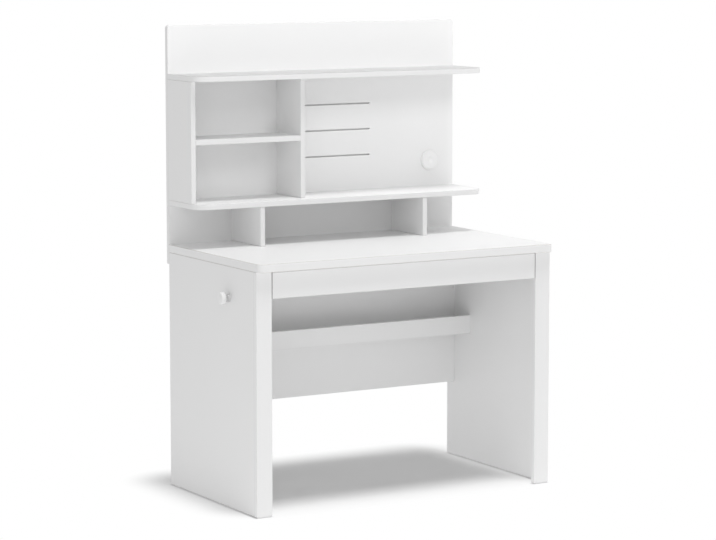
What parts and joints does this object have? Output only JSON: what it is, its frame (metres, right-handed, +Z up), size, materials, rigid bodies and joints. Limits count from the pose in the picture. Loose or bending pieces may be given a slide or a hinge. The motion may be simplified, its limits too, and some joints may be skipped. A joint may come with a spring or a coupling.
{
  "type": "student desk with hutch",
  "caption": "Student desk with a hutch: white laminated desktop on panel legs, wide drawer on telescopic runners, cable tray, and shelves with an open box on a tall slotted back panel.",
  "frame": {"origin": "middle of the footprint's bounding box, on the floor", "axes": "+X to the user's right, +Y from the user towards the back panel, +Z up"},
  "size_m": [1.058, 0.598, 1.42],
  "materials": {
    "white_laminate": "satin melamine-faced particle board with white edge band",
    "white_hardboard": "thin hardboard with a white lacquered face",
    "plain_board": "bare white-primed batten",
    "dowel_beech": "fluted beech",
    "runner_steel": "zinc-plated rolled steel",
    "fastener_steel": "zinc-plated steel",
    "cam_zinc": "die-cast zinc",
    "grommet_plastic": "moulded white plastic, satin",
    "cap_plastic": "moulded white plastic",
    "glide_plastic": "hard white plastic",
    "peg_plastic": "moulded white plastic, satin",
    "peg_nickel": "satin nickel-plated steel"
  },
  "bodies": {
    "desk": {"desktop": "white_laminate", "left_side_panel": "white_laminate", "right_side_panel": "white_laminate", "left_front_stile": "white_laminate", "right_front_stile": "white_laminate", "modesty_panel": "white_laminate", "cable_tray_front": "white_laminate", "cable_tray_bottom": "white_laminate", "left_runner_packer": "plain_board", "right_runner_packer": "plain_board", "left_runner_outer": "runner_steel", "right_runner_outer": "runner_steel", "hutch_back_panel": "white_laminate", "hutch_lower_shelf": "white_laminate", "hutch_top_shelf": "white_laminate", "hutch_left_side": "white_laminate", "hutch_divider": "white_laminate", "hutch_mid_shelf": "white_laminate", "left_shelf_support": "white_laminate", "right_shelf_support": "white_laminate", "grommet_sleeve": "grommet_plastic", "bag_peg": "peg_plastic", "bag_peg_sleeve": "peg_nickel", "bag_peg_screw": "fastener_steel", "foot_glides": "glide_plastic", "desk_cam_locks": "cam_zinc", "desk_cam_bolts": "fastener_steel", "desk_dowels": "dowel_beech", "hutch_dowels": "dowel_beech", "panel_screws": "fastener_steel", "panel_screw_caps": "cap_plastic", "packer_screws": "fastener_steel", "runner_cabinet_screws": "fastener_steel"},
    "drawer": {"drawer_front": "white_laminate", "drawer_left_side": "white_laminate", "drawer_right_side": "white_laminate", "drawer_back": "white_laminate", "drawer_bottom": "white_hardboard", "left_runner_inner": "runner_steel", "right_runner_inner": "runner_steel", "runner_drawer_screws": "fastener_steel", "drawer_cam_locks": "cam_zinc", "drawer_cam_bolts": "fastener_steel", "drawer_dowels": "dowel_beech", "drawer_back_screws": "fastener_steel"},
    "runner_middles": {"left_runner_middle": "runner_steel", "right_runner_middle": "runner_steel"},
    "outer_cages": {"outer_ball_cages": "fastener_steel"},
    "inner_cages": {"inner_ball_cages": "fastener_steel"},
    "grommet_cap": {"grommet_cap": "grommet_plastic"}
  },
  "joints": [
    {"name": "drawer_slide", "type": "slide", "parent": "desk", "child": "drawer", "axis": [0, -1, 0], "range_m": [0, 0.385]},
    {"name": "runner_middle_slide", "type": "slide", "parent": "desk", "child": "runner_middles", "axis": [0, -1, 0], "range_m": [0, 0.1925]},
    {"name": "outer_cage_slide", "type": "slide", "parent": "desk", "child": "outer_cages", "axis": [0, -1, 0], "range_m": [0, 0.09625]},
    {"name": "inner_cage_slide", "type": "slide", "parent": "desk", "child": "inner_cages", "axis": [0, -1, 0], "range_m": [0, 0.28875]},
    {"name": "grommet_cap_turn", "type": "hinge", "parent": "desk", "child": "grommet_cap", "pos_m": [0.441, 0.283, 0.97], "axis": [0, 1, 0], "continuous": true}
  ],
  "couplings": [
    {"joint": "runner_middle_slide", "follows": "drawer_slide", "ratio": 0.5},
    {"joint": "outer_cage_slide", "follows": "drawer_slide", "ratio": 0.25},
    {"joint": "inner_cage_slide", "follows": "drawer_slide", "ratio": 0.75}
  ]
}
